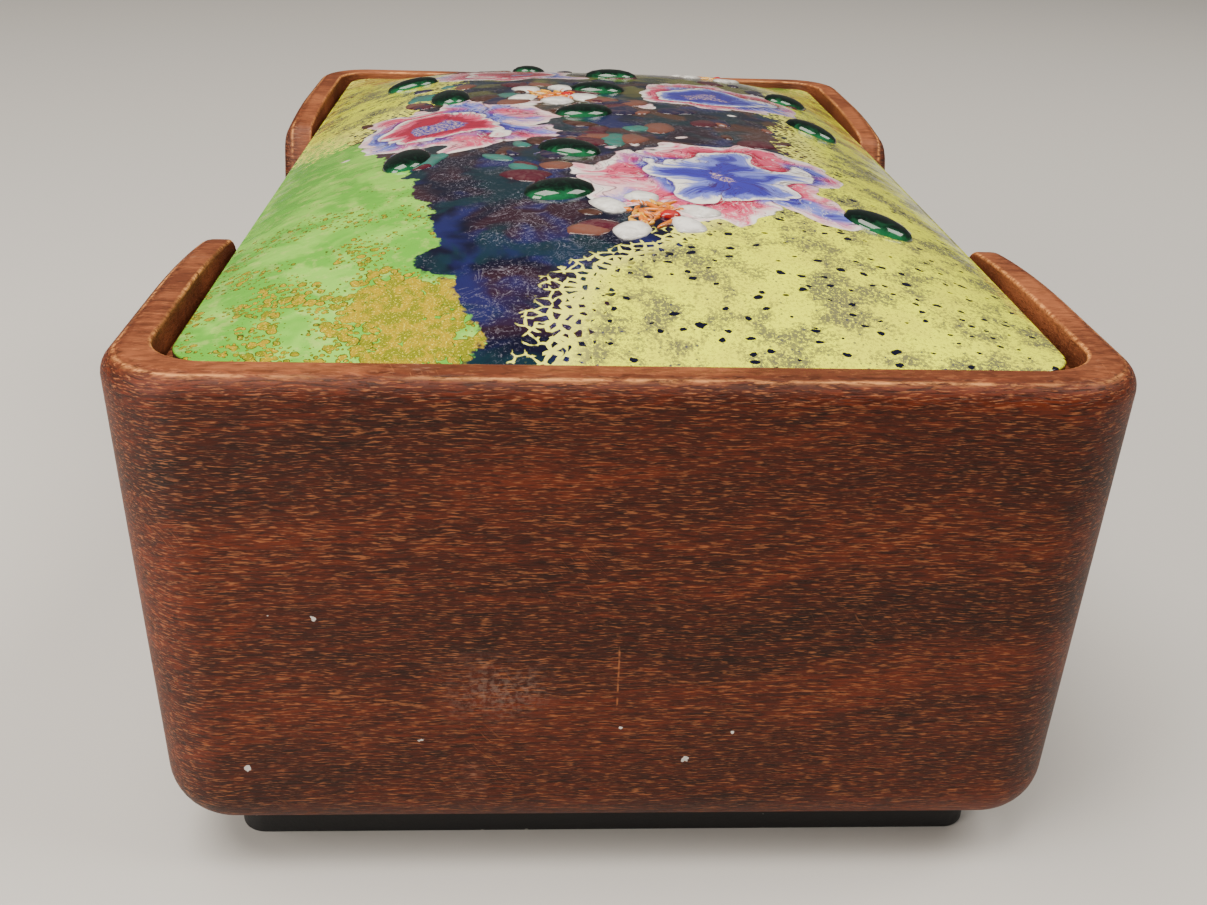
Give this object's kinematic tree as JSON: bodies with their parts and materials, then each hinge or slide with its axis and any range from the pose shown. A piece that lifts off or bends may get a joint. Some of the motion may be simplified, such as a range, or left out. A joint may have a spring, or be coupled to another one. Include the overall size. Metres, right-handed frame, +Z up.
{
  "type": "enamel jewelry box",
  "caption": "Rectangular wooden jewelry box with finger notches in its long walls and a lift-off lid that carries a domed enamelled plate.",
  "frame": {"origin": "centre of the plinth's underside, on the surface that the box stands on", "axes": "+Y along the box from the front end to the back end, +X across it, +Z up"},
  "size_m": [0.1198, 0.1898, 0.0813],
  "materials": {
    "body_wood": "reddish-brown stained wood, satin, worn lighter along the rim",
    "lid_wood": "stained wood, satin",
    "enamel": "glossy vitreous enamel on copper, painted with flowers, with fused glass drops",
    "plinth_black": "matt black"
  },
  "bodies": {
    "root": {"box_body": "body_wood", "lid_board": "lid_wood", "enamel_plate": "enamel", "base_plinth": "plinth_black"}
  },
  "joints": []
}
